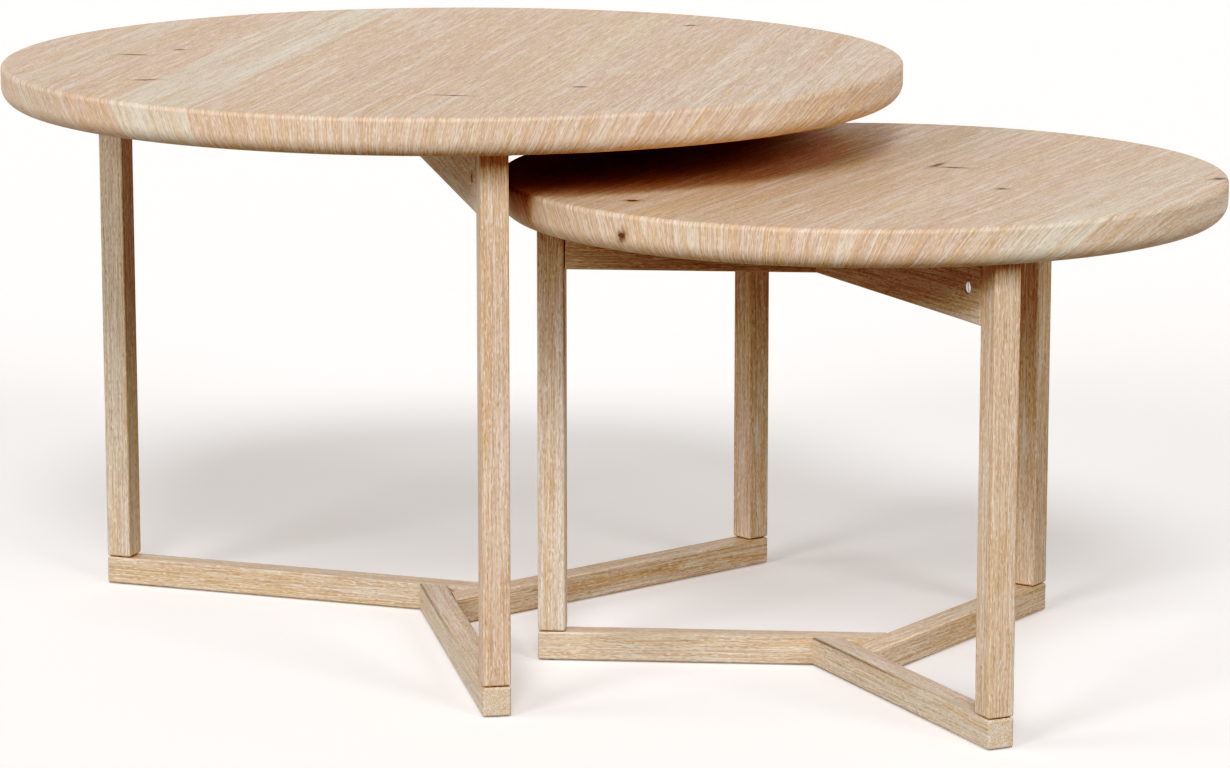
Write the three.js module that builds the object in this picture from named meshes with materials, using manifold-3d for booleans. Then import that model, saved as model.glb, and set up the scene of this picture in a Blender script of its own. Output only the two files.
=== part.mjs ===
// Nesting tables: a pair of round solid-oak tables, the smaller standing partly under the larger.
//
// Each table is a thick disc on a three-legged frame. Three foot rails lie on the floor and three
// top rails stand on edge under the top. The rails of a set meet in a pinwheel, 120 degrees apart:
// each one's inner end is cut at 60 degrees and butts the flank of the one before it, which leaves
// a small three-cornered opening round the hub. A leg stands on the outer end of each foot rail
// and runs up to the underside of the top, and the top rail butts the leg's inner face.
//
// Units are millimetres and +Z is up. The floor is z = 0, and the origin is on the floor under the
// middle of the pair.

import * as THREE from "three";
import { mergeVertices } from "three/addons/utils/BufferGeometryUtils.js";
import Module from "manifold-3d";

const wasm = await Module();
wasm.setup();

// ---------------------------------------------------------------- driving dimensions

// reach: from the hub to the outer face of a leg. heading: the way the first rail points, in
// degrees from +X towards +Y; the other two follow at 120 degree steps.
const LARGE = { name: "large", topDiameter: 800, height: 512, reach: 355, heading: 160.4 };
const SMALL = { name: "small", topDiameter: 620, height: 437.5, reach: 280, heading: 175.5 };
const SMALL_FROM_LARGE = new THREE.Vector2(355, -191.5); // hub to hub, in plan

const SIDES = ["left", "front", "back"]; // where each leg of a table stands
const STEP_ANGLE = 120;

const TOP_THICKNESS = 33;
const UPPER_EDGE_RADIUS = 4;
const LOWER_EDGE_RADIUS = 14.5;

const STICK = 24; // width of every leg and rail
const ARRIS_RADIUS = 2;
const FOOT_RAIL_DEPTH = 25;
const TOP_RAIL_DEPTH = 56;
const HUB_INRADIUS = 6.8; // from the hub's centre to each rail's flank

const FIT = 0.3; // gap left between pieces that touch

// The leg's stub tenon in the foot rail.
const TENON = 14;
const TENON_LENGTH = 8;

// The foot screw, up through the foot rail and the tenon into the leg.
const FOOT_SCREW = { radius: 3, headRadius: 5, headHeight: 3.5, length: 48 };
const FOOT_SEAT = 9; // from the underside of the foot rail up to the screw head's seat

// The glide: a disc let into the foot rail, standing proud of it, with a plug above.
const GLIDE = { radius: 9, thickness: 3, proud: 1, plugRadius: 4.4, plugHeight: 2.5 };

// The knock-down joint between top rail and leg: a drum in a cross hole grips a stud's head.
const CAM = { radius: 5, length: 14, recess: 1.2, slotWidth: 1.4, slotDepth: 1.5, bevel: 0.4 };
const CAM_FROM_LEG = 21.3; // drum's centre to the leg's inner face
const STUD = { threadRadius: 3, threadLength: 12, shankRadius: 2.5, neckRadius: 1.7, headRadius: 3.2 };
const STUD_HEAD_LENGTH = 3;
const STUD_NECK_LENGTH = 4;
const DOWEL = { radius: 4, inLeg: 11, inRail: 18, below: 17 }; // below: under the stud's axis

// The screw that holds the top, up through a counterbore in the top rail.
const TOP_SCREW = { radius: 2, headRadius: 4, headHeight: 2.4, intoTop: 16, throughRail: 22 };
const TOP_SCREW_AT = 0.55; // share of the reach, from the hub

const ROUND_STEPS = 12; // sides of a small turned piece
const TOP_STEPS = 72; // sides of a top
const EDGE_STEPS = { upper: 2, lower: 4 }; // facets round the top's edges
const ARRIS_STEPS = 2;

const radians = THREE.MathUtils.degToRad;

// ---------------------------------------------------------------- materials

const oakTop = { color: 0xd1bba6, roughness: 0.6, metalness: 0 };
const oakFrame = { color: 0xc8aa8c, roughness: 0.65, metalness: 0 };
const beech = { color: 0xd9b88c, roughness: 0.7, metalness: 0 };
const zinc = { color: 0xd6d4d0, roughness: 0.3, metalness: 1 };
const steel = { color: 0x9c9da0, roughness: 0.35, metalness: 1 };
const nylon = { color: 0xb9a68f, roughness: 0.6, metalness: 0 };

// ---------------------------------------------------------------- shapes

// A rectangle with rounded corners, centred on the origin.
function roundedRectangle(width, height, radius) {
  const x = width / 2 - radius;
  const y = height / 2 - radius;
  const quarter = Math.PI / 2;
  return new THREE.Shape()
    .absarc(x, y, radius, 0, quarter)
    .absarc(-x, y, radius, quarter, 2 * quarter)
    .absarc(-x, -y, radius, 2 * quarter, 3 * quarter)
    .absarc(x, -y, radius, 3 * quarter, 4 * quarter);
}

// A square stick with eased arrises, standing on z = 0 over the origin.
function uprightStick(width, depth, length) {
  return new THREE.ExtrudeGeometry(roundedRectangle(width, depth, ARRIS_RADIUS), {
    depth: length,
    bevelEnabled: false,
    curveSegments: ARRIS_STEPS,
  });
}

// The same stick laid along +X from x = 0, with its section centred on the X axis.
function layingStick(width, height, length) {
  return uprightStick(height, width, length).rotateY(Math.PI / 2);
}

function upright(geometry) {
  return geometry.rotateX(Math.PI / 2);
}

// A cylinder centred on the origin, with its axis along X, Y or Z.
function cylinder(radius, length, axis) {
  const made = new THREE.CylinderGeometry(radius, radius, length, ROUND_STEPS);
  if (axis === "x") return made.rotateZ(-Math.PI / 2);
  return axis === "z" ? upright(made) : made;
}

// A turned solid round the Z axis, from [radius, z] points that run up from the axis and back to it.
function turned(points, steps = ROUND_STEPS) {
  const profile = points.map(([radius, z]) => new THREE.Vector2(radius, z));
  return upright(new THREE.LatheGeometry(profile, steps));
}

function box(x, y, z) {
  return new THREE.BoxGeometry(x, y, z);
}

// ---------------------------------------------------------------- joining and cutting

function solidOf(geometry) {
  const bare = geometry.clone();
  bare.deleteAttribute("normal");
  bare.deleteAttribute("uv");
  const merged = mergeVertices(bare, 1e-4);
  return new wasm.Manifold(
    new wasm.Mesh({
      numProp: 3,
      vertProperties: merged.attributes.position.array,
      triVerts: new Uint32Array(merged.index.array),
    }),
  );
}

function geometryOf(solid) {
  const mesh = solid.getMesh();
  const geometry = new THREE.BufferGeometry();
  geometry.setAttribute("position", new THREE.BufferAttribute(mesh.vertProperties, 3));
  geometry.setIndex(new THREE.BufferAttribute(mesh.triVerts, 1));
  const faceted = geometry.toNonIndexed();
  faceted.computeVertexNormals();
  return faceted;
}

function join(geometry, ...added) {
  return geometryOf(added.reduce((whole, one) => whole.add(solidOf(one)), solidOf(geometry)));
}

function cut(geometry, ...holes) {
  return geometryOf(holes.reduce((whole, one) => whole.subtract(solidOf(one)), solidOf(geometry)));
}

// ---------------------------------------------------------------- one table

// Heights and places that follow from a table's driving dimensions. Along a rail, x runs from the
// hub outwards, and a rail's body lies on the -Y side of the hub's centre line.
function layout(table) {
  const underside = table.height - TOP_THICKNESS;
  const footBottom = GLIDE.proud;
  return {
    underside,
    footBottom,
    legBottom: footBottom + FOOT_RAIL_DEPTH,
    legX: table.reach - STICK / 2,
    legFace: table.reach - STICK,
    middleY: -(HUB_INRADIUS + STICK / 2),
    outerY: -(HUB_INRADIUS + STICK),
    studZ: underside - TOP_RAIL_DEPTH / 2,
    camX: table.reach - STICK - CAM_FROM_LEG,
    topScrewX: table.reach * TOP_SCREW_AT,
  };
}

// A place in a rail's frame, turned to the rail's own heading round the hub.
function aroundHub(table, side, x, y) {
  const angle = radians(table.heading + STEP_ANGLE * side);
  return new THREE.Vector2(x, y).rotateAround(new THREE.Vector2(), angle);
}

// Points round a quarter of a circle in the profile plane, as [radius, z], from one angle on.
function quarterRound(radius, z, edgeRadius, fromDegrees, steps) {
  return Array.from({ length: steps + 1 }, (_, step) => {
    const angle = radians(fromDegrees + (90 * step) / steps);
    return [radius + edgeRadius * Math.cos(angle), z + edgeRadius * Math.sin(angle)];
  });
}

// The disc, with a hole under it for each of the three top screws.
function topGeometry(table) {
  const radius = table.topDiameter / 2;
  const { underside, topScrewX, middleY } = layout(table);
  const lower = LOWER_EDGE_RADIUS;
  const upper = UPPER_EDGE_RADIUS;
  const profile = [
    [0, underside],
    ...quarterRound(radius - lower, underside + lower, lower, -90, EDGE_STEPS.lower),
    ...quarterRound(radius - upper, table.height - upper, upper, 0, EDGE_STEPS.upper),
    [0, table.height],
  ];
  const depth = TOP_SCREW.intoTop + FIT;
  const holes = SIDES.map((_, side) => {
    const at = aroundHub(table, side, topScrewX, middleY);
    return cylinder(TOP_SCREW.radius + FIT, 2 * depth, "z").translate(at.x, at.y, underside);
  });
  return cut(turned(profile, TOP_STEPS), ...holes);
}

// Cuts a rail's inner end at 60 degrees, where it butts the flank of the rail before it.
function innerEndCutter(depth) {
  const big = 4 * STICK;
  const blade = box(big, 2 * big, 4 * depth).translate(-big / 2 + FIT, 0, 0);
  const turn = -radians(STEP_ANGLE / 4);
  return blade.rotateZ(turn).translate(-Math.sqrt(3) * HUB_INRADIUS, -HUB_INRADIUS, 0);
}

// A foot rail: mortised on top for the leg's tenon, bored from beneath for the screw and glide.
function footRailGeometry(table) {
  const { footBottom, legBottom, legX, middleY } = layout(table);
  const start = -2 * STICK;
  const rail = layingStick(STICK, FOOT_RAIL_DEPTH, table.reach - start).translate(
    start,
    middleY,
    footBottom + FOOT_RAIL_DEPTH / 2,
  );
  const seat = footBottom + FOOT_SEAT;
  const recess = GLIDE.thickness - GLIDE.proud + FIT;
  const mortise = box(TENON + 2 * FIT, TENON + 2 * FIT, 2 * (TENON_LENGTH + FIT));
  return cut(
    rail,
    innerEndCutter(FOOT_RAIL_DEPTH),
    mortise.translate(legX, middleY, legBottom),
    cylinder(FOOT_SCREW.radius + FIT, 2 * FOOT_RAIL_DEPTH, "z").translate(legX, middleY, legBottom),
    cylinder(FOOT_SCREW.headRadius + FIT, 2 * seat, "z").translate(legX, middleY, 0),
    cylinder(GLIDE.radius + FIT, 2 * recess, "z").translate(legX, middleY, footBottom),
  );
}

// A top rail: bored through its flank for the cam lock, in its end for the stud and the dowel, and
// from beneath for the top screw.
function topRailGeometry(table) {
  const { underside, legFace, middleY, outerY, studZ, camX, topScrewX } = layout(table);
  const start = -2 * STICK;
  const end = legFace - FIT;
  const middleZ = underside - FIT - TOP_RAIL_DEPTH / 2;
  const rail = layingStick(STICK, TOP_RAIL_DEPTH, end - start).translate(start, middleY, middleZ);
  const camHole = cylinder(CAM.radius + FIT, 2 * (CAM.recess + CAM.length + FIT), "y");
  const studHole = cylinder(STUD.headRadius + FIT, CAM_FROM_LEG, "x");
  const dowelHole = cylinder(DOWEL.radius + FIT, 2 * (DOWEL.inRail + FIT), "x");
  const counterbore = 2 * (TOP_RAIL_DEPTH - TOP_SCREW.throughRail);
  return cut(
    rail,
    innerEndCutter(2 * underside),
    camHole.translate(camX, outerY, studZ),
    studHole.translate(camX + CAM_FROM_LEG / 2, middleY, studZ),
    dowelHole.translate(end, middleY, studZ - DOWEL.below),
    cylinder(TOP_SCREW.headRadius + FIT, counterbore, "z").translate(
      topScrewX,
      middleY,
      underside - FIT - TOP_RAIL_DEPTH,
    ),
    cylinder(TOP_SCREW.radius + FIT, 4 * TOP_SCREW.throughRail, "z").translate(
      topScrewX,
      middleY,
      underside,
    ),
  );
}

// A leg: a stub tenon below, with the foot screw's hole up through it, and the holes for the stud
// and the dowel in the face that looks at the hub.
function legGeometry(table) {
  const { underside, footBottom, legBottom, legX, legFace, middleY, studZ } = layout(table);
  const bottom = legBottom + FIT;
  const stick = uprightStick(STICK, STICK, underside - FIT - bottom).translate(legX, middleY, bottom);
  const tenon = box(TENON, TENON, 2 * TENON_LENGTH).translate(legX, middleY, bottom);
  const screwTop = footBottom + FOOT_SEAT + FOOT_SCREW.length;
  return cut(
    join(stick, tenon),
    cylinder(FOOT_SCREW.radius + FIT, 2 * screwTop, "z").translate(legX, middleY, 0),
    cylinder(STUD.threadRadius + FIT, 2 * (STUD.threadLength + FIT), "x").translate(
      legFace,
      middleY,
      studZ,
    ),
    cylinder(DOWEL.radius + FIT, 2 * (DOWEL.inLeg + FIT), "x").translate(
      legFace,
      middleY,
      studZ - DOWEL.below,
    ),
  );
}

// A cam lock: a bevelled drum lying across the rail, open towards the leg for the stud's head,
// with a screwdriver slot in its outer end.
function camLockGeometry(table) {
  const { outerY, middleY, studZ, camX } = layout(table);
  const { radius, length, bevel, recess, slotWidth, slotDepth } = CAM;
  const drum = turned([
    [0, 0],
    [radius, 0],
    [radius, length - bevel],
    [radius - bevel, length],
    [0, length],
  ]).rotateX(Math.PI / 2);
  const face = outerY + recess;
  const boreEnd = camX - STUD_HEAD_LENGTH / 2 - FIT;
  return cut(
    drum.translate(camX, face + length, studZ),
    cylinder(STUD.headRadius + FIT, 2 * radius, "x").translate(boreEnd + radius, middleY, studZ),
    box(slotWidth, 2 * slotDepth, 3 * radius).translate(camX, face, studZ),
  );
}

// A cam stud: screwed into the leg, with a waisted neck and a round head inside the drum.
function camStudGeometry(table) {
  const { legFace, middleY, studZ, camX } = layout(table);
  const { threadRadius, threadLength, shankRadius, neckRadius, headRadius } = STUD;
  const tip = camX - STUD_HEAD_LENGTH / 2 - legFace;
  const neck = tip + STUD_HEAD_LENGTH + STUD_NECK_LENGTH;
  const profile = [
    [0, tip],
    [headRadius * 0.6, tip],
    [headRadius, tip + STUD_HEAD_LENGTH / 3],
    [headRadius, tip + (2 * STUD_HEAD_LENGTH) / 3],
    [neckRadius, tip + STUD_HEAD_LENGTH],
    [neckRadius, neck],
    [shankRadius, neck],
    [shankRadius, -1],
    [threadRadius, 0],
    [threadRadius, threadLength - 2],
    [threadRadius / 2, threadLength],
    [0, threadLength],
  ];
  return turned(profile).rotateY(Math.PI / 2).translate(legFace, middleY, studZ);
}

// A dowel with bevelled ends, half in the rail and half in the leg.
function dowelGeometry(table) {
  const { legFace, middleY, studZ } = layout(table);
  const { radius, inLeg, inRail, below } = DOWEL;
  const profile = [
    [0, -inRail],
    [radius - 1, -inRail],
    [radius, 1 - inRail],
    [radius, inLeg - 1],
    [radius - 1, inLeg],
    [0, inLeg],
  ];
  return turned(profile).rotateY(Math.PI / 2).translate(legFace, middleY, studZ - below);
}

// A foot screw, head down, just below its seat in the foot rail.
function footScrewGeometry(table) {
  const { footBottom, legX, middleY } = layout(table);
  const { radius, headRadius, headHeight, length } = FOOT_SCREW;
  const seat = footBottom + FOOT_SEAT - FIT;
  const tip = seat + length;
  const profile = [
    [0, seat - headHeight],
    [headRadius - 0.6, seat - headHeight],
    [headRadius, seat - headHeight + 0.8],
    [headRadius, seat],
    [radius, seat],
    [radius, tip - 2 * radius],
    [0, tip],
  ];
  return turned(profile).translate(legX, middleY, 0);
}

// A glide: a disc with a turned edge and a plug in the foot screw's counterbore.
function glideGeometry(table) {
  const { legX, middleY } = layout(table);
  const { radius, thickness, plugRadius, plugHeight } = GLIDE;
  const profile = [
    [0, 0],
    [radius - 0.8, 0],
    [radius, 0.8],
    [radius, thickness],
    [plugRadius, thickness],
    [plugRadius, thickness + plugHeight],
    [0, thickness + plugHeight],
  ];
  return turned(profile).translate(legX, middleY, 0);
}

// A top screw with a countersunk head, up through the top rail into the top.
function topScrewGeometry(table) {
  const { underside, middleY, topScrewX } = layout(table);
  const { radius, headRadius, headHeight, intoTop, throughRail } = TOP_SCREW;
  const head = underside - throughRail - 2 * FIT;
  const tip = underside + intoTop;
  const profile = [
    [0, head - headHeight],
    [headRadius, head - headHeight],
    [headRadius, head - headHeight + 0.5],
    [radius, head],
    [radius, tip - 3 * radius],
    [0, tip],
  ];
  return turned(profile).translate(topScrewX, middleY, 0);
}

// The sub-parts that come once for each leg.
const PER_LEG = [
  { name: "leg", geometry: legGeometry, material: oakFrame },
  { name: "foot_rail", geometry: footRailGeometry, material: oakFrame },
  { name: "top_rail", geometry: topRailGeometry, material: oakFrame },
  { name: "cam_lock", geometry: camLockGeometry, material: zinc },
  { name: "cam_stud", geometry: camStudGeometry, material: steel },
  { name: "rail_dowel", geometry: dowelGeometry, material: beech },
  { name: "foot_screw", geometry: footScrewGeometry, material: steel },
  { name: "glide", geometry: glideGeometry, material: nylon },
  { name: "top_screw", geometry: topScrewGeometry, material: steel },
];

function subPart(name, geometry, finish) {
  const mesh = new THREE.Mesh(geometry, new THREE.MeshStandardMaterial(finish));
  mesh.name = name;
  return mesh;
}

function buildTable(table, hub) {
  const group = new THREE.Group();
  group.position.set(hub.x, hub.y, 0);
  group.add(subPart(`${table.name}_top`, topGeometry(table), oakTop));
  SIDES.forEach((side, index) => {
    const spoke = new THREE.Group();
    spoke.rotation.z = radians(table.heading + STEP_ANGLE * index);
    for (const { name, geometry, material } of PER_LEG) {
      spoke.add(subPart(`${table.name}_${name}_${side}`, geometry(table), material));
    }
    group.add(spoke);
  });
  return group;
}

// ---------------------------------------------------------------- the pair

// The large hub's place, so that the plan box of the two tops is centred on the origin.
function largeHub() {
  const reachOf = (table, at) => {
    const radius = new THREE.Vector2().setScalar(table.topDiameter / 2);
    return new THREE.Box2(at.clone().sub(radius), at.clone().add(radius));
  };
  const plan = reachOf(LARGE, new THREE.Vector2()).union(reachOf(SMALL, SMALL_FROM_LARGE));
  return plan.getCenter(new THREE.Vector2()).negate();
}

const group = new THREE.Group();
const hub = largeHub();
group.add(buildTable(LARGE, hub));
group.add(buildTable(SMALL, hub.clone().add(SMALL_FROM_LARGE)));

export default group;
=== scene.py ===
# %% [markdown]
# # A pair of round nesting tables in white-oiled oak
#
# Two solid-oak tables stand one partly under the other. Each is a thick round top on three square
# legs, with three rails under the top and three on the floor that meet in a pinwheel. This lesson
# builds the surfaces that the eye sees around a fixed engineering model: the model says where every
# piece is and how big it is, and Blender gives each piece its eased edges and its finish.
#
# The first cell loads the engineering model. Everything is in metres, with +Z up and the floor at
# z = 0.

import math

import bmesh
import bpy
from mathutils import Matrix, Vector


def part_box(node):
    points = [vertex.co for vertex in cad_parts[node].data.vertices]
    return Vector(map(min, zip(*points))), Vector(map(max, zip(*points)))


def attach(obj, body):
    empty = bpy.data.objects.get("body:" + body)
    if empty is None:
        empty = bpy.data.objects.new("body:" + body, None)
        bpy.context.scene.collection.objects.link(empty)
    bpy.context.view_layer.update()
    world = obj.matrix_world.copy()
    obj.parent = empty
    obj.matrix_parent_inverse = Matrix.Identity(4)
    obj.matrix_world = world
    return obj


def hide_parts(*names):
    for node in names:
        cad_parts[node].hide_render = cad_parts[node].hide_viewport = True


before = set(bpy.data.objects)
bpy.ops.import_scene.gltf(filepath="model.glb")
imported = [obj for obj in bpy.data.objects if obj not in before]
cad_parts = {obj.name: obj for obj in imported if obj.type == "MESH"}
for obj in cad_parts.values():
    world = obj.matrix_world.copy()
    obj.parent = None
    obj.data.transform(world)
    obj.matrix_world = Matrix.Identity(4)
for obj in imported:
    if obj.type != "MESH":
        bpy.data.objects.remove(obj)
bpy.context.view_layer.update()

# %% [markdown]
# ## Where things are
#
# A table's hub is the middle of its top. The three legs stand round it at 120 degree steps, so one
# leg's place gives the heading of the whole frame. A rail doesn't point straight out from the hub:
# its flank passes beside the hub's centre, which is what makes the pinwheel. Working in a rail's own
# frame (x outwards from the hub, y across, z up) keeps every later step simple.

# %% Read each table's layout from the model
MM = 0.001
STICK = 24 * MM  # the width of every leg and rail
HUB_INRADIUS = 6.8 * MM  # from the hub's centre to each rail's flank
LATERAL = HUB_INRADIUS + STICK / 2  # from the hub's centre line to a rail's middle
SIDES = ("left", "front", "back")


def middle(node):
    low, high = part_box(node)
    return (low + high) / 2


class Table:
    """One table's hub, heading and heights, read from the engineering model."""

    def __init__(self, name):
        self.name = name
        self.body = f"{name}_table"
        low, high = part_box(f"{name}_top")
        self.hub = Vector(((low.x + high.x) / 2, (low.y + high.y) / 2, 0))
        self.radius = (high.x - low.x) / 2
        self.underside, self.height = low.z, high.z
        leg = middle(f"{name}_leg_left") - self.hub
        leg.z = 0
        self.leg_x = math.sqrt(leg.length_squared - LATERAL**2)
        self.reach = self.leg_x + STICK / 2
        self.heading = math.atan2(leg.y, leg.x) + math.atan2(LATERAL, self.leg_x)

    def spoke(self, side):
        """The frame of one rail: x runs outwards from the hub, y across to the left, z up."""
        turn = self.heading + SIDES.index(side) * math.radians(120)
        return Matrix.Translation(self.hub) @ Matrix.Rotation(turn, 4, "Z")


large, small = Table("large"), Table("small")
for table in (large, small):
    print(table.name, "radius %.4f reach %.4f heading %.1f deg"
          % (table.radius, table.reach, math.degrees(table.heading)))

# %% [markdown]
# ## The camera
#
# The tables are seen from about four metres away with a long lens, from a metre above the floor,
# looking down by eleven degrees. A long lens keeps the two round tops as calm ellipses.

# %% Place the camera
CAMERA_PLACE = Vector((0.0115, -4.0088, 1.0117))
CAMERA_DOWN = math.radians(11.097)
LENS_MM = 134.1

camera_data = bpy.data.cameras.new("camera")
camera_data.lens = LENS_MM
camera = bpy.data.objects.new("camera", camera_data)
camera.location = CAMERA_PLACE
camera.rotation_euler = (math.pi / 2 - CAMERA_DOWN, 0, 0)
bpy.context.scene.collection.objects.link(camera)
bpy.context.scene.camera = camera
print("camera", round(CAMERA_PLACE.length, 2), "m away, lens", LENS_MM, "mm")

# %% [markdown]
# ## One small helper for materials, one for colours
#
# Colours are chosen as the hex values a painter would pick on screen. Shaders work in linear light,
# so one function turns them. The other helper adds a node, sets it and links it in one call.

# %% Helpers for materials


def colour(hex_value, alpha=1.0):
    """An sRGB hex colour such as 'd1bba6' as linear red, green, blue and alpha."""
    channels = [int(hex_value[i:i + 2], 16) / 255 for i in (0, 2, 4)]
    linear = [c / 12.92 if c <= 0.04045 else ((c + 0.055) / 1.055) ** 2.4 for c in channels]
    return (*linear, alpha)


def add_node(tree, kind, inputs=None, **settings):
    """Adds a shader node, sets its options, and fills its inputs with values or links."""
    node = tree.nodes.new("ShaderNode" + kind)
    for name, value in settings.items():
        setattr(node, name, value)
    for socket, value in (inputs or {}).items():
        if isinstance(value, bpy.types.NodeSocket):
            tree.links.new(value, node.inputs[socket])
        else:
            node.inputs[socket].default_value = value
    return node


def new_material(name):
    """An empty node material and the Principled shader that ends it."""
    material = bpy.data.materials.new(name)
    material.use_nodes = True
    tree = material.node_tree
    tree.nodes.clear()
    shader = add_node(tree, "BsdfPrincipled")
    output = add_node(tree, "OutputMaterial", {"Surface": shader.outputs["BSDF"]})
    output.is_active_output = True
    return material, tree, shader


# %% [markdown]
# ## Oak, white-oiled
#
# Oak is ring-porous: each year's growth starts with a band of wide pores. Cut lengthwise, the pores
# show as short thin dashes, and the fibres between them as long, almost straight lines. White oil
# leaves pale pigment in the open grain and takes the yellow out of the rest, so some lines read
# lighter than the wood round them and some darker.
#
# The pattern is built in a board's own space: x across, y through, z along the grain, in metres.
# Each piece carries or works out these three numbers, with its own shift, so that no two boards are
# cut from the same place in the tree. A Mapping node's scale is one over the size of a mark: 900
# across means marks a little over 1 mm wide, and 20 along makes them 50 mm long.

# %% The oak pattern, as a node group shared by sticks and tops
RING_MM = 3.4  # a year's growth
PITH_MM = 70.0  # how far outside the board the tree's centre lies
ELSEWHERE = (0.31, 0.17, 0.7)  # metres to a part of the noise where nothing lines up


def stretched_noise(tree, vector, scale, detail=0.0, roughness=0.5):
    """A noise whose marks are one over the scale long, in metres, along each axis."""
    mapping = add_node(tree, "Mapping", {"Vector": vector, "Scale": scale})
    return add_node(tree, "TexNoise", {"Vector": mapping.outputs[0], "Scale": 1.0,
                                       "Detail": detail, "Roughness": roughness})


def bent_by(tree, vector, scale, amount):
    """Pushes a vector sideways by a noise, by up to about half the amount each way."""
    noise = stretched_noise(tree, vector, scale, detail=1.0)
    centred = add_node(tree, "VectorMath", {0: noise.outputs["Color"], 1: (0.5, 0.5, 0.5)},
                       operation="SUBTRACT")
    pushed = add_node(tree, "VectorMath", {0: centred.outputs[0], 1: (amount, amount, 0)},
                      operation="MULTIPLY")
    return add_node(tree, "VectorMath", {0: vector, 1: pushed.outputs[0]},
                    operation="ADD").outputs[0]


def thin_lines(tree, noise, width):
    """Turns a smooth noise into thin lines, where it passes through its middle value."""
    offset = add_node(tree, "Math", {0: noise.outputs["Fac"], 1: 0.5}, operation="SUBTRACT")
    away = add_node(tree, "Math", {0: offset.outputs[0]}, operation="ABSOLUTE")
    return add_node(tree, "MapRange", {"Value": away.outputs[0], "From Min": 0.0,
                                       "From Max": width, "To Min": 1.0, "To Max": 0.0})


def growth_rings(tree, fibre):
    """Dark late wood and the abrupt start of the next year, from the distance to the pith."""
    parts = add_node(tree, "SeparateXYZ", {0: fibre})
    pith = add_node(tree, "Math", {0: parts.outputs["Y"], 1: PITH_MM * MM}, operation="ADD")
    flat = add_node(tree, "CombineXYZ", {"X": parts.outputs["X"], "Y": pith.outputs[0]})
    radius = add_node(tree, "VectorMath", {0: flat.outputs[0]}, operation="LENGTH")
    years = add_node(tree, "Math", {0: radius.outputs["Value"], 1: 1 / (RING_MM * MM)},
                     operation="MULTIPLY")
    phase = add_node(tree, "Math", {0: years.outputs[0]}, operation="FRACT")
    early = add_node(tree, "MapRange", {"Value": phase.outputs[0], "From Max": 0.2, "To Min": 1.0,
                                        "To Max": 0.0})
    late = add_node(tree, "MapRange", {"Value": phase.outputs[0], "From Min": 0.45})
    return add_node(tree, "Math", {0: early.outputs[0], 1: late.outputs[0]}, operation="MAXIMUM")


def oak_pattern():
    """A node group: board coordinates in, the parts of the figure out."""
    tree = bpy.data.node_groups.new("oak_pattern", "ShaderNodeTree")
    tree.interface.new_socket("Board", in_out="INPUT", socket_type="NodeSocketVector")
    board = tree.nodes.new("NodeGroupInput").outputs["Board"]
    fibre = bent_by(tree, board, (8, 8, 2.5), 12 * MM)
    fibre = bent_by(tree, fibre, (45, 45, 16), 1.6 * MM)

    # Fibres: 1 mm wide and 40 mm long, with finer ones inside.
    fibres = stretched_noise(tree, fibre, (850, 1000, 25), detail=2.0, roughness=0.6)
    # Pale lines of oil, and dark lines of dense wood: under 1 mm wide, 3 to 8 mm apart.
    pale = thin_lines(tree, stretched_noise(tree, fibre, (260, 330, 5)), 0.05)
    shifted = add_node(tree, "VectorMath", {0: fibre, 1: ELSEWHERE}, operation="ADD")
    dark = thin_lines(tree, stretched_noise(tree, shifted.outputs[0], (230, 300, 6)), 0.045)
    # Pores: dashes 0.7 mm wide and 5 mm long. Real ones are 0.3 mm wide, too fine to show.
    pores = stretched_noise(tree, fibre, (1400, 1400, 200))
    open_pores = add_node(tree, "MapRange", {"Value": pores.outputs["Fac"], "From Min": 0.58,
                                             "From Max": 0.7})
    filled = stretched_noise(tree, shifted.outputs[0], (1100, 1100, 170))
    filled_pores = add_node(tree, "MapRange", {"Value": filled.outputs["Fac"], "From Min": 0.62,
                                               "From Max": 0.72})
    # Two slow changes of colour: one a hand wide, one a finger wide.
    broad = stretched_noise(tree, board, (22, 22, 1.6), detail=1.0)
    narrow = stretched_noise(tree, fibre, (110, 130, 3), detail=1.0)
    results = {"Fibres": fibres.outputs["Fac"], "Pale lines": pale.outputs[0],
               "Dark lines": dark.outputs[0], "Pores": open_pores.outputs[0],
               "Filled pores": filled_pores.outputs[0], "Broad": broad.outputs["Fac"],
               "Narrow": narrow.outputs["Fac"], "Rings": growth_rings(tree, fibre).outputs[0]}
    out = tree.nodes.new("NodeGroupOutput")
    for name, socket in results.items():
        tree.interface.new_socket(name, in_out="OUTPUT", socket_type="NodeSocketFloat")
        tree.links.new(socket, out.inputs[name])
    return tree


OAK = oak_pattern()
print("oak pattern nodes:", len(OAK.nodes))

# %% [markdown]
# One function lays the parts of the figure over a board's own colour, each by a small amount,
# because oiled oak is a quiet wood. A part's amount is how far it goes towards its colour. The oil
# leaves a soft sheen: an IOR of 1.47 and a roughness of 0.5 to 0.64, rougher along the fibres.

# %% Lay the figure over a board's colour
OAK_ROSE = colour("d3a78a")
OAK_GOLD = colour("dbb27f")
OAK_BROWN = colour("a2744f")
OAK_LIME = colour("f4e6d2")
OIL_IOR = 1.47


def lay_over(tree, below, part, over, low, high, amount):
    """Mixes a colour over another where a part of the figure rises from low to high."""
    share = add_node(tree, "MapRange", {"Value": part, "From Min": low, "From Max": high,
                                        "To Max": amount})
    mixed = add_node(tree, "Mix", {"Factor": share.outputs[0], "A": below, "B": over},
                     data_type="RGBA")
    return mixed.outputs["Result"]


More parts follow.
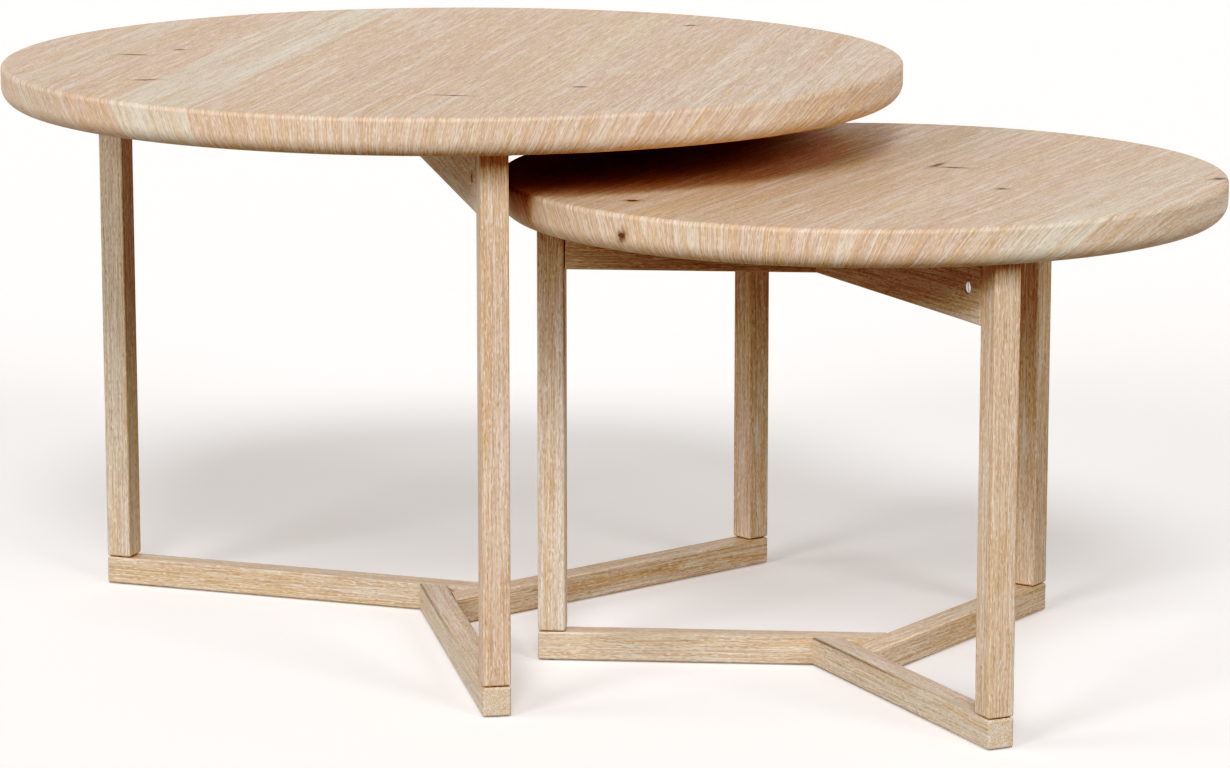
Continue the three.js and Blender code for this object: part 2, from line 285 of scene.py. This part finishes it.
def finish_oak(tree, shader, board, base, strength=1.0):
    """Connects colour, roughness and bump. Returns the colour's link, for knots to be laid on."""
    figure = add_node(tree, "Group", node_tree=OAK)
    tree.links.new(board, figure.inputs["Board"])
    part = figure.outputs
    now = lay_over(tree, base, part["Broad"], OAK_ROSE, 0.42, 0.68, 0.5)
    now = lay_over(tree, now, part["Narrow"], OAK_GOLD, 0.52, 0.7, 0.55)
    now = lay_over(tree, now, part["Narrow"], OAK_LIME, 0.46, 0.3, 0.35)
    now = lay_over(tree, now, part["Rings"], OAK_BROWN, 0.2, 1.0, 0.13 * strength)
    now = lay_over(tree, now, part["Fibres"], OAK_BROWN, 0.5, 0.72, 0.42 * strength)
    now = lay_over(tree, now, part["Fibres"], OAK_LIME, 0.48, 0.28, 0.5 * strength)
    now = lay_over(tree, now, part["Dark lines"], OAK_BROWN, 0.0, 1.0, 0.22 * strength)
    now = lay_over(tree, now, part["Pale lines"], OAK_LIME, 0.0, 1.0, 0.5 * strength)
    now = lay_over(tree, now, part["Pores"], OAK_BROWN, 0.0, 1.0, 0.4 * strength)
    now = lay_over(tree, now, part["Filled pores"], OAK_LIME, 0.0, 1.0, 0.5 * strength)
    tree.links.new(now, shader.inputs["Base Color"])
    height = add_node(tree, "Math", {0: part["Fibres"], 1: part["Pores"]}, operation="SUBTRACT")
    bump = add_node(tree, "Bump", {"Height": height.outputs[0], "Strength": 0.3,
                                   "Distance": 0.15 * MM})
    tree.links.new(bump.outputs[0], shader.inputs["Normal"])
    rough = add_node(tree, "MapRange", {"Value": part["Fibres"], "From Min": 0.3,
                                        "From Max": 0.7, "To Min": 0.5, "To Max": 0.64})
    tree.links.new(rough.outputs[0], shader.inputs["Roughness"])
    shader.inputs["IOR"].default_value = OIL_IOR
    return now


# %% [markdown]
# A stick's board coordinates come from its own attribute. A second attribute, its tone, says how
# warm the stick is, because the makers don't match the sticks as carefully as the staves of a top.

# %% Oak for legs and rails
STICK_COOL = colour("dcc6ab")
STICK_WARM = colour("dcb690")


def oak_stick_material():
    material, tree, shader = new_material("white_oiled_oak_planed")
    board = add_node(tree, "Attribute", attribute_name="board")
    tone = add_node(tree, "Attribute", attribute_name="tone")
    base = add_node(tree, "Mix", {"Factor": tone.outputs["Fac"], "A": STICK_COOL,
                                  "B": STICK_WARM}, data_type="RGBA")
    finish_oak(tree, shader, board.outputs["Vector"], base.outputs["Result"])
    return material


oak_stick = oak_stick_material()

# %% [markdown]
# ## Legs and rails
#
# A stick starts as a cube, scaled to the stick's size. A rail's inner end is then cut at 60 degrees
# by a bisecting plane, where it butts its neighbour's flank, and all other edges are rounded with a
# bevel of 2 mm, as a sanding block leaves them. Holes are cut last with a Boolean modifier.

# %% Make a stick
ARRIS = 2.0 * MM
ARRIS_SEGMENTS = 4
JOINT = 0.15 * MM  # half the gap at a glued joint
CUT_TURN = math.radians(-30)  # the cut's normal, from straight back: it leaves a 60 degree end
SHARP_ANGLE = math.radians(40)  # a carved edge steeper than this stays crisp


def box_mesh(low, high):
    """A bmesh box between two corners."""
    bm = bmesh.new()
    bmesh.ops.create_cube(bm, size=1.0)
    size = Vector(high) - Vector(low)
    bmesh.ops.scale(bm, vec=size, verts=bm.verts)
    bmesh.ops.translate(bm, vec=(Vector(high) + Vector(low)) / 2, verts=bm.verts)
    return bm


def cut_inner_end(bm):
    """Cuts a rail along the flank of its neighbour. Returns the edges round the cut."""
    point = Vector((-math.sqrt(3) * HUB_INRADIUS, -HUB_INRADIUS, 0))
    normal = Matrix.Rotation(CUT_TURN, 3, "Z") @ Vector((-1, 0, 0))
    parts = bm.verts[:] + bm.edges[:] + bm.faces[:]
    made = bmesh.ops.bisect_plane(bm, geom=parts, plane_co=point - normal * 2 * JOINT,
                                  plane_no=normal, clear_outer=True)
    rim = [item for item in made["geom_cut"] if isinstance(item, bmesh.types.BMEdge)]
    bmesh.ops.edgeloop_fill(bm, edges=rim)
    return rim


def ease_edges(bm, sharp=()):
    """Rounds every edge but the sharp ones."""
    edges = [edge for edge in bm.edges if edge not in sharp]
    bmesh.ops.bevel(bm, geom=edges, offset=ARRIS, affect="EDGES", segments=ARRIS_SEGMENTS,
                    profile=0.5, material=-1)


def grain_axes(kind):
    """Turns a stick's frame so that z runs along its grain: a leg's already does."""
    return Matrix.Identity(4) if kind == "leg" else Matrix.Rotation(math.radians(-90), 4, "Y")


def piece_from(bm, name, place, material):
    """Turns a bmesh into an object at the origin, with its place in its mesh."""
    bmesh.ops.recalc_face_normals(bm, faces=bm.faces)
    mesh = bpy.data.meshes.new(name)
    bm.to_mesh(mesh)
    bm.free()
    mesh.transform(place)
    mesh.materials.append(material)
    mesh.shade_smooth()
    piece = bpy.data.objects.new(name, mesh)
    bpy.context.scene.collection.objects.link(piece)
    return piece


def bottom_neck(bm, z, depth, inset):
    """Draws a leg's bottom face down as a narrower neck, which leaves a thin dark line."""
    bm.normal_update()
    face = max((f for f in bm.faces if f.normal.z < -0.99), key=lambda f: f.calc_area())
    bmesh.ops.inset_individual(bm, faces=[face], thickness=inset)
    made = bmesh.ops.extrude_face_region(bm, geom=[face])
    verts = [item for item in made["geom"] if isinstance(item, bmesh.types.BMVert)]
    bmesh.ops.translate(bm, vec=(0, 0, -depth), verts=verts)
    bmesh.ops.delete(bm, geom=[face], context="FACES")
    print("neck from", round(z / MM, 2), "mm, down by", round(depth / MM, 2), "mm")


def carve(piece, cutters):
    """Cuts solids out of a piece with a Boolean modifier, and keeps the result as its mesh."""
    for number, bm in enumerate(cutters):
        cutter = piece_from(bm, f"cutter_{number}", Matrix.Identity(4), piece.data.materials[0])
        modifier = piece.modifiers.new("cut", "BOOLEAN")
        modifier.operation = "DIFFERENCE"
        modifier.solver = "MANIFOLD"
        modifier.object = cutter
        bpy.context.view_layer.update()
        shaped = piece.evaluated_get(bpy.context.evaluated_depsgraph_get())
        piece.data = bpy.data.meshes.new_from_object(shaped)
        piece.modifiers.clear()
        bpy.data.objects.remove(cutter)
    piece.data.set_sharp_from_angle(angle=SHARP_ANGLE)


def weigh_normals(piece):
    """Lets the large flat faces set the shading, so that only the rounded edges catch light."""
    modifier = piece.modifiers.new("flat_faces", "WEIGHTED_NORMAL")
    modifier.weight = 100
    modifier.keep_sharp = True


def write_board(piece, place, axes, shift):
    """Stores each point's place in its own board: x across, y through, z along the grain."""
    inverse = axes @ place.inverted()
    attribute = piece.data.attributes.new("board", "FLOAT_VECTOR", "POINT")
    for vertex, item in zip(piece.data.vertices, attribute.data):
        item.vector = inverse @ vertex.co + shift


def write_tone(piece, tone):
    """Stores how warm a stick is, the same all over it."""
    attribute = piece.data.attributes.new("tone", "FLOAT", "POINT")
    for item in attribute.data:
        item.value = tone


print("stick helpers ready: arris", ARRIS, "m")

# %% [markdown]
# ### The holes in a top rail
#
# A top rail is joined to its leg by a cam lock, a small drum that turns in a hole in the rail's
# flank, and it is screwed to the top from beneath through a counterbore. For each hole a solid of
# revolution is spun first and then cut out.

# %% Cutters for the two holes
DRUM_HOLE = 5.3 * MM  # radius: the drum's 5 mm and its clearance
DRUM_DEPTH = 15.5 * MM  # the drum's length, its recess and a little air
COUNTERBORE = 4.3 * MM
COUNTERBORE_DEPTH = 34 * MM
SHANK_HOLE = 2.3 * MM
HOLE_CHAMFER = 0.3 * MM
PROUD = 0.6 * MM  # how far the drum's cutter stands out of the flank
SCREW_AT = 0.55  # of the table's reach
MERGE = 0.01 * MM  # points nearer than this become one


def spun_profile(corners, steps=48):
    """A solid of revolution about z, from (radius, z) corners that start and end on the axis."""
    bm = bmesh.new()
    verts = [bm.verts.new((r, 0, z)) for r, z in corners]
    for first, second in zip(verts, verts[1:]):
        bm.edges.new((first, second))
    bmesh.ops.spin(bm, geom=bm.verts[:] + bm.edges[:], cent=(0, 0, 0), axis=(0, 0, 1),
                   angle=math.tau, steps=steps, use_merge=True)
    bmesh.ops.remove_doubles(bm, verts=bm.verts, dist=MERGE)
    bmesh.ops.recalc_face_normals(bm, faces=bm.faces)
    return bm


def drum_frame(table, side):
    """The drum's own frame: z runs along its axis, out of the rail's flank."""
    centre = middle(f"{table.name}_cam_lock_{side}")
    local = table.spoke(side).inverted() @ centre
    outer = Matrix.Translation((local.x, -LATERAL - STICK / 2, local.z))
    return table.spoke(side) @ outer @ Matrix.Rotation(math.radians(90), 4, "X")


def drum_cutter(table, side):
    bm = spun_profile([(0, -DRUM_DEPTH), (DRUM_HOLE, -DRUM_DEPTH), (DRUM_HOLE, -HOLE_CHAMFER),
                       (DRUM_HOLE + HOLE_CHAMFER + PROUD, PROUD), (0, PROUD)])
    bm.transform(drum_frame(table, side))
    return bm


def screw_cutter(table, side, low, high):
    bm = spun_profile([(0, low - MM), (COUNTERBORE, low - MM),
                       (COUNTERBORE, low + COUNTERBORE_DEPTH),
                       (SHANK_HOLE, low + COUNTERBORE_DEPTH), (SHANK_HOLE, high + MM),
                       (0, high + MM)])
    bm.transform(table.spoke(side) @ Matrix.Translation((SCREW_AT * table.reach, -LATERAL, 0)))
    return bm


# %% [markdown]
# ### The eighteen sticks
#
# The shifts move each stick to another part of the tree, so that its lines are its own. The
# numbers only have to differ. The tones are given stick by stick, 0 cool and 1 warm.

# %% Build the nine sticks of each table
STICK_NUMBER = {"leg": 0, "foot_rail": 3, "top_rail": 6}
STICKS_IN_A_TABLE = 9
SHIFT_STEP = Vector((0.137, 0.071, 1.31))  # metres: across, through and along the tree
TONES = {
    ("large", "leg"): (0.2, 0.9, 0.6),
    ("large", "foot_rail"): (0.7, 0.4, 0.9),
    ("large", "top_rail"): (0.5, 0.4, 0.6),
    ("small", "leg"): (0.1, 0.8, 0.6),
    ("small", "foot_rail"): (0.5, 0.1, 0.8),
    ("small", "top_rail"): (0.3, 0.6, 0.4),
}
NECK = 0.9 * MM  # the shadow gap between a leg and its foot
NECK_INSET = 1.2 * MM


def stick_shift(table, kind, side):
    number = STICK_NUMBER[kind] + SIDES.index(side)
    if table is small:
        number += STICKS_IN_A_TABLE
    return number * SHIFT_STEP


def build_stick(table, kind, side):
    node = f"{table.name}_{kind}_{side}"
    low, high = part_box(node)
    place = table.spoke(side)
    y_low, y_high = -LATERAL - STICK / 2, -LATERAL + STICK / 2
    if kind == "leg":
        foot_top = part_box(f"{table.name}_foot_rail_{side}")[1].z
        bottom = foot_top + NECK
        bm = box_mesh((table.reach - STICK, y_low, bottom), (table.reach, y_high, high.z))
        ease_edges(bm)
        bottom_neck(bm, bottom, NECK - JOINT, NECK_INSET)
    else:
        end = table.reach if kind == "foot_rail" else table.reach - STICK - 2 * JOINT
        bm = box_mesh((-2 * STICK, y_low, low.z), (end, y_high, high.z))
        ease_edges(bm, sharp=cut_inner_end(bm))
    # Holes are cut while the stick still lies square, so that its flat faces are exactly flat.
    piece = piece_from(bm, f"oak_{node}", Matrix.Identity(4), oak_stick)
    if kind == "top_rail":
        cutters = [drum_cutter(table, side), screw_cutter(table, side, low.z, high.z)]
        for cutter in cutters:
            cutter.transform(place.inverted())
        carve(piece, cutters)
    piece.data.transform(place)
    weigh_normals(piece)
    write_board(piece, place, grain_axes(kind), stick_shift(table, kind, side))
    write_tone(piece, TONES[table.name, kind][SIDES.index(side)])
    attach(piece, table.body)
    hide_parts(node)
    return piece


sticks = {}
for table in (large, small):
    for kind in STICK_NUMBER:
        for side in SIDES:
            sticks[table.name, kind, side] = build_stick(table, kind, side)
print("sticks:", len(sticks), "with", sum(len(s.data.polygons) for s in sticks.values()), "faces")

# %% [markdown]
# ## The round tops
#
# A top is staves glued edge to edge, sawn round and shaped with a router: a small round on the upper
# edge and a large one below. The mesh starts as a thin sector edge spun about the hub, and the two
# rim edges are beveled to their radii.

# %% Spin and round a top
UPPER_ROUND = 4.0 * MM
LOWER_ROUND = 14.5 * MM
UPPER_SEGMENTS = 6
LOWER_SEGMENTS = 14
TOP_STEPS = 240


def rim_edges(bm, radius, z):
    """The edges of the ring at a radius and height."""
    near = 0.1 * MM
    return [edge for edge in bm.edges
            if all(abs(v.co.z - z) < near and abs(v.co.xy.length - radius) < near
                   for v in edge.verts)]


def top_bmesh(radius, underside, height):
    bm = bmesh.new()
    corners = [(0, underside), (radius, underside), (radius, height), (0, height)]
    verts = [bm.verts.new((x, 0, z)) for x, z in corners]
    for first, second in zip(verts, verts[1:]):
        bm.edges.new((first, second))
    bmesh.ops.spin(bm, geom=bm.verts[:] + bm.edges[:], cent=(0, 0, 0), axis=(0, 0, 1),
                   angle=math.tau, steps=TOP_STEPS, use_merge=True)
    bmesh.ops.remove_doubles(bm, verts=bm.verts, dist=MERGE)
    rounds = ((height, UPPER_ROUND, UPPER_SEGMENTS), (underside, LOWER_ROUND, LOWER_SEGMENTS))
    for z, size, segments in rounds:
        bmesh.ops.bevel(bm, geom=rim_edges(bm, radius, z), offset=size, affect="EDGES",
                        segments=segments, profile=0.5, material=-1)
    return bm


# %% [markdown]
# The figure runs over the edge without a break, as if the face's grain were unrolled outwards and
# down the side. A UV map holds that: each point's direction from the hub, at the distance measured
# over the surface from the middle of the top.

# %% Unroll the top's surface into a UV map


def surface_distance(co, radius, underside, height):
    """The distance from the middle of the upper face, measured along the profile."""
    r = co.xy.length
    upper_z, lower_z = height - UPPER_ROUND, underside + LOWER_ROUND
    quarter = math.pi / 2
    if co.z > upper_z:
        over = min(max((r - (radius - UPPER_ROUND)) / UPPER_ROUND, 0), 1)
        return min(r, radius - UPPER_ROUND) + UPPER_ROUND * math.asin(over)
    side = radius - UPPER_ROUND + UPPER_ROUND * quarter + (upper_z - max(co.z, lower_z))
    under = min(max((lower_z - co.z) / LOWER_ROUND, 0), 1)
    return side + LOWER_ROUND * math.asin(under)


def unroll(piece, table):
    """Writes the unrolled UV map, in metres. The flat underside keeps its plain plan view."""
    mesh = piece.data
    layer = mesh.uv_layers.new(name="unrolled")
    for face in mesh.polygons:
        below = face.normal.z < -0.999
        for loop in face.loop_indices:
            local = mesh.vertices[mesh.loops[loop].vertex_index].co - table.hub
            r = local.xy.length
            if below:
                reach = r
            else:
                reach = surface_distance(local, table.radius, table.underside, table.height)
            plan = local.xy * (reach / r) if r > 0 else local.xy
            layer.data[loop].uv = plan


# %% [markdown]
# The top's oak reads that map. A colour ramp with hard steps lays out the staves across the grain,
# with each stave's own colour, as a maker arranges boards before gluing. A white noise on that colour
# gives each stave its own shift in the tree. A few small knots and checks are laid on last: each is
# an ellipse in plan, with its place measured from the hub, its turn and its half length and width,
# made ragged by a noise.

# %% Oak for the tops
STAVES = {  # where each stave begins across the grain, in mm from the hub, and its colour
    "large": ((-400, "dcb99b"), (-338, "dabb9f"), (-282, "ddb899"), (-214, "e4d3b9"),
              (-142, "deba9a"), (-66, "dcb898"), (4, "dbb697"), (72, "debd9a"), (138, "dab698"),
              (208, "ddbca0"), (276, "dab89c"), (336, "ddbda1")),
    "small": ((-310, "dbb99c"), (-238, "ddbb9a"), (-172, "dcb999"), (-98, "deb998"),
              (-30, "dab796"), (44, "ddb999"), (112, "dbb89a"), (176, "ddbfa2"),
              (224, "e3d2b8"), (268, "dcbc9e")),
}
GRAIN_DEGREES = {"large": 79, "small": 65}
KNOTS = {  # x, y from the hub, turn in degrees, half length, half width, all in mm
    "large": ((-286, 18, -8, 12, 3.5), (-258, -158, 5, 11, 3.5), (-249, 55, 40, 5, 4),
              (8, -260, -12, 15, 2.5), (114, -205, 0, 6, 4), (215, 244, 20, 7, 4)),
    "small": ((-197, -161, 0, 6, 5), (66, 38, 62, 16, 3.5), (80, 24, -14, 13, 3.5),
              (111, -97, 0, 5, 4), (299, -41, 40, 8, 5), (-216, -244, 10, 5.5, 4.5)),
}
KNOT_DARK = colour("5b3a26")
RAMP_REACH = 1.2  # of the radius: the unrolled edge lies outside the rim
STAVE_SHIFT = (0.9, 0.4, 7.0)  # metres at most: across, through and along the tree


def stave_ramp(tree, across, table_name, radius_mm):
    """A colour ramp with hard steps, one for each stave."""
    reach_mm = radius_mm * RAMP_REACH
    share = add_node(tree, "MapRange", {"Value": across, "From Min": -reach_mm * MM,
                                        "From Max": reach_mm * MM})
    ramp = add_node(tree, "ValToRGB", {"Fac": share.outputs[0]})
    steps = ramp.color_ramp
    steps.interpolation = "CONSTANT"
    for number, (start, hex_value) in enumerate(STAVES[table_name]):
        position = (start + reach_mm) / (2 * reach_mm)
        if number < 2:
            step = steps.elements[number]
            step.position = position if number else 0.0
        else:
            step = steps.elements.new(position)
        step.color = colour(hex_value)
    return ramp.outputs["Color"]


def lay_knots(tree, plan, below, table_name):
    """Lays each knot over the oak, as a dark ragged ellipse."""
    ragged = bent_by(tree, plan, (260, 260, 260), 5 * MM)
    now = below
    for x, y, turn, half_length, half_width in KNOTS[table_name]:
        local = add_node(tree, "Mapping", {"Vector": ragged, "Location": (x * MM, y * MM, 0),
                                           "Rotation": (0, 0, math.radians(turn)),
                                           "Scale": (half_length * MM, half_width * MM, 1)},
                         vector_type="TEXTURE")
        away = add_node(tree, "VectorMath", {0: local.outputs[0]}, operation="LENGTH")
        now = lay_over(tree, now, away.outputs["Value"], OAK_BROWN, 2.0, 0.9, 0.5)
        now = lay_over(tree, now, away.outputs["Value"], KNOT_DARK, 1.1, 0.4, 0.95)
    return now


def oak_top_material(table):
    material, tree, shader = new_material(f"white_oiled_oak_sanded_{table.name}")
    unrolled = add_node(tree, "UVMap", uv_map="unrolled")
    turn = math.radians(90 - GRAIN_DEGREES[table.name])
    turned = add_node(tree, "Mapping", {"Vector": unrolled.outputs[0], "Rotation": (0, 0, turn)})
    parts = add_node(tree, "SeparateXYZ", {0: turned.outputs[0]})
    base = stave_ramp(tree, parts.outputs["X"], table.name, table.radius / MM)
    own = add_node(tree, "TexWhiteNoise", {"Vector": base}, noise_dimensions="3D")
    shift = add_node(tree, "VectorMath", {0: own.outputs["Color"], 1: STAVE_SHIFT},
                     operation="MULTIPLY")
    flat = add_node(tree, "CombineXYZ", {"X": parts.outputs["X"], "Z": parts.outputs["Y"]})
    board = add_node(tree, "VectorMath", {0: flat.outputs[0], 1: shift.outputs[0]},
                     operation="ADD")
    oak = finish_oak(tree, shader, board.outputs[0], base, strength=0.8)
    knotted = lay_knots(tree, unrolled.outputs[0], oak, table.name)
    tree.links.new(knotted, shader.inputs["Base Color"])
    return material


top_finish = {table.name: oak_top_material(table) for table in (large, small)}

# %% Build the two tops


def build_top(table):
    bm = top_bmesh(table.radius, table.underside, table.height)
    piece = piece_from(bm, f"oak_{table.name}_top", Matrix.Translation(table.hub),
                       top_finish[table.name])
    weigh_normals(piece)
    unroll(piece, table)
    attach(piece, table.body)
    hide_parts(f"{table.name}_top")
    return piece


tops = {table.name: build_top(table) for table in (large, small)}
print("faces in a top:", {name: len(top.data.polygons) for name, top in tops.items()})

# %% [markdown]
# ## Cam locks
#
# The cam lock is a die-cast zinc drum with a slot for a screwdriver, plated bright. Only its outer
# end is seen, a small bright disc a millimetre inside its hole. It is spun from its profile, with a
# turned chamfer, and the slot is cut across it.

# %% Finishes of the small hardware


def plain_finish(name, hex_value, metallic, roughness, grain_scale, bump_mm, ior=1.5):
    """A one-colour material with a fine unevenness in its roughness and its surface."""
    material, tree, shader = new_material(name)
    place = add_node(tree, "TexCoord")
    grain = add_node(tree, "TexNoise", {"Vector": place.outputs["Object"], "Scale": grain_scale,
                                        "Detail": 3.0})
    rough = add_node(tree, "MapRange", {"Value": grain.outputs["Fac"], "From Min": 0.3,
                                        "From Max": 0.7, "To Min": roughness * 0.8,
                                        "To Max": roughness * 1.2})
    bump = add_node(tree, "Bump", {"Height": grain.outputs["Fac"], "Strength": 0.3,
                                   "Distance": bump_mm * MM})
    tree.links.new(rough.outputs[0], shader.inputs["Roughness"])
    tree.links.new(bump.outputs[0], shader.inputs["Normal"])
    shader.inputs["Base Color"].default_value = colour(hex_value)
    shader.inputs["Metallic"].default_value = metallic
    if not metallic:
        shader.inputs["IOR"].default_value = ior
    return material


# The scale of each noise is one over the size of its marks: 0.5 mm casting skin, 0.3 mm plating
# and 0.8 mm moulding texture.
zinc = plain_finish("nickel_plated_die_cast_zinc", "e9e9ea", 1.0, 0.34, 2000, 0.02)
steel = plain_finish("zinc_plated_steel", "c9ccd0", 1.0, 0.3, 3300, 0.01)
nylon = plain_finish("moulded_nylon", "d8d5cd", 0.0, 0.45, 1250, 0.03, ior=1.53)

# %% [markdown]
# The dowels are turned from beech, which is close-grained and pinkish, with short darker flecks.
# They lie level, so their flecks are long in both level directions and thin in height.

# %% Beech for the dowels
BEECH_PALE = colour("dcb68f")
BEECH_FLECK = colour("b98a62")


def beech_material():
    material, tree, shader = new_material("turned_beech")
    place = add_node(tree, "TexCoord")
    # Flecks 0.4 mm wide and 3 mm long.
    fleck = stretched_noise(tree, place.outputs["Object"], (330, 330, 2500), detail=1.0)
    mixed = lay_over(tree, BEECH_PALE, fleck.outputs["Fac"], BEECH_FLECK, 0.5, 0.75, 0.6)
    bump = add_node(tree, "Bump", {"Height": fleck.outputs["Fac"], "Strength": 0.3,
                                   "Distance": 0.05 * MM})
    tree.links.new(mixed, shader.inputs["Base Color"])
    tree.links.new(bump.outputs[0], shader.inputs["Normal"])
    shader.inputs["Roughness"].default_value = 0.6
    return material


beech = beech_material()
NODE_FINISHES = {"cam_stud": steel, "rail_dowel": beech, "foot_screw": steel, "glide": nylon,
                 "top_screw": steel}
for name, material in NODE_FINISHES.items():
    for table in (large, small):
        for side in SIDES:
            node = bpy.data.objects[f"{table.name}_{name}_{side}"]
            node.data.materials.clear()
            node.data.materials.append(material)
print("finished", len(NODE_FINISHES) * 2 * len(SIDES), "hidden fasteners and glides")

# %% Build the six cam locks
DRUM = 5 * MM
DRUM_LENGTH = 14 * MM
DRUM_RECESS = 1.2 * MM
SLOT_WIDTH = 1.4 * MM
SLOT_DEPTH = 1.5 * MM
SLOT_TURN = math.radians(12)
CHAMFER = 0.4 * MM


def build_cam_lock(table, side):
    node = f"{table.name}_cam_lock_{side}"
    top, bottom = -DRUM_RECESS, -DRUM_RECESS - DRUM_LENGTH
    bm = spun_profile([(0, bottom), (DRUM, bottom), (DRUM, top - CHAMFER), (DRUM - CHAMFER, top),
                       (0, top)])
    piece = piece_from(bm, f"zinc_{node}", Matrix.Identity(4), zinc)
    slot = box_mesh((-SLOT_WIDTH / 2, -2 * DRUM, top - SLOT_DEPTH),
                    (SLOT_WIDTH / 2, 2 * DRUM, top + MM))
    slot.transform(Matrix.Rotation(SLOT_TURN, 4, "Z"))
    carve(piece, [slot])
    piece.data.transform(drum_frame(table, side))
    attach(piece, table.body)
    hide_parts(node)
    return piece


cam_locks = [build_cam_lock(table, side) for table in (large, small) for side in SIDES]
print("cam locks:", len(cam_locks), "of", len(cam_locks[0].data.polygons), "faces")

# %% [markdown]
# ## A white studio
#
# The stage is a white cove: a floor disc and a wall round it. In a studio such a cove stands well
# away from the furniture, so that it is bright behind it and sends little light back up under the
# tops. Here the same is done with ray visibility: the cove is seen by the camera and in reflections,
# but it casts no shadow and gives no bounced light. The world's own faint light stands in for that.

# %% Floor, wall and world
COVE_RADIUS = 14.0
COVE_HEIGHT = 12.0
COVE_SEGMENTS = 96
COVE_PAINT = colour("fbf1e9")  # a warm white, which balances the cool flash
FLOOR_GLOW = 0.2
WALL_GLOW = 0.35
BOUNCE = 0.18


def cove_material(name, glow):
    material, tree, shader = new_material(name)
    place = add_node(tree, "TexCoord")
    # A painted surface's slight mottling, in patches of about 40 mm.
    mottle = add_node(tree, "TexNoise", {"Vector": place.outputs["Object"], "Scale": 25.0})
    rough = add_node(tree, "MapRange", {"Value": mottle.outputs["Fac"], "To Min": 0.85,
                                        "To Max": 0.95})
    tree.links.new(rough.outputs[0], shader.inputs["Roughness"])
    shader.inputs["Base Color"].default_value = COVE_PAINT
    shader.inputs["Specular IOR Level"].default_value = 0.2
    shader.inputs["Emission Color"].default_value = colour("ffffff")
    shader.inputs["Emission Strength"].default_value = glow
    return material


def stand_in_cove(piece):
    piece.visible_diffuse = False
    piece.visible_shadow = False


floor_bm = bmesh.new()
bmesh.ops.create_circle(floor_bm, cap_ends=True, segments=COVE_SEGMENTS, radius=COVE_RADIUS)
floor = piece_from(floor_bm, "floor", Matrix.Identity(4),
                   cove_material("painted_floor", FLOOR_GLOW))
stand_in_cove(floor)

wall_bm = bmesh.new()
bmesh.ops.create_circle(wall_bm, cap_ends=False, segments=COVE_SEGMENTS, radius=COVE_RADIUS)
raised = bmesh.ops.extrude_edge_only(wall_bm, edges=wall_bm.edges[:])
lifted = [item for item in raised["geom"] if isinstance(item, bmesh.types.BMVert)]
bmesh.ops.translate(wall_bm, vec=(0, 0, COVE_HEIGHT), verts=lifted)
wall = piece_from(wall_bm, "wall", Matrix.Identity(4), cove_material("painted_wall", WALL_GLOW))
stand_in_cove(wall)

world = bpy.data.worlds.new("studio")
world.use_nodes = True
# Light that has met oak on its way is warm.
world.node_tree.nodes["Background"].inputs["Color"].default_value = colour("fff2e6")
world.node_tree.nodes["Background"].inputs["Strength"].default_value = BOUNCE
bpy.context.scene.world = world
print("cove", COVE_RADIUS, "m round,", COVE_HEIGHT, "m high")

# %% [markdown]
# Last comes the grading. The curve works on linear light: it pulls the darks down, so that the
# shadow between the tops turns nearly black, and it leaves the light tones as they are.

# %% Grade the darks
TONE_POINTS = ((0.07, 0.014), (0.2, 0.16), (0.4, 0.39))  # light in the scene, light shown
ALL_CHANNELS = 3  # the curve after red, green and blue

view = bpy.context.scene.view_settings
view.view_transform = "Standard"
view.use_curve_mapping = True
for scene_value, shown_value in TONE_POINTS:
    view.curve_mapping.curves[ALL_CHANNELS].points.new(scene_value, shown_value)
view.curve_mapping.update()

# %% [markdown]
# ## Light
#
# One soft light in front, 42 degrees up, makes the shadow of the large top on the small one. Weaker
# ones beside it keep the side faces apart, stronger on the left, and one low behind gives the
# tops their pale sheen. Each is a sun lamp with a wide disc, which gives the soft edge of a studio
# box at the same strength everywhere.

# %% Key and side lights
FLASH_WHITE = colour("ecf6ff")  # a flash is a little cooler than daylight


def soft_light(name, from_right, height, disc, strength):
    """A lamp seen as a disc in the sky. Angles in degrees: to the right of front, and up."""
    data = bpy.data.lights.new(name, "SUN")
    data.angle = math.radians(disc)
    data.energy = strength
    data.color = FLASH_WHITE[:3]
    turn, up = math.radians(from_right), math.radians(height)
    towards = Vector((math.sin(turn) * math.cos(up), -math.cos(turn) * math.cos(up),
                      math.sin(up)))
    light = bpy.data.objects.new(name, data)
    light.rotation_euler = towards.to_track_quat("Z", "Y").to_euler()
    bpy.context.scene.collection.objects.link(light)


soft_light("key", 0, 42, 18, 1.62)
soft_light("front_left", -38, 24, 20, 1.2)
soft_light("front_right", 40, 24, 20, 1.05)
soft_light("left", -80, 20, 30, 0.88)
soft_light("right", 80, 20, 30, 0.15)
soft_light("back", 180, 15, 60, 0.5)
print("lights:", len(bpy.data.lights))
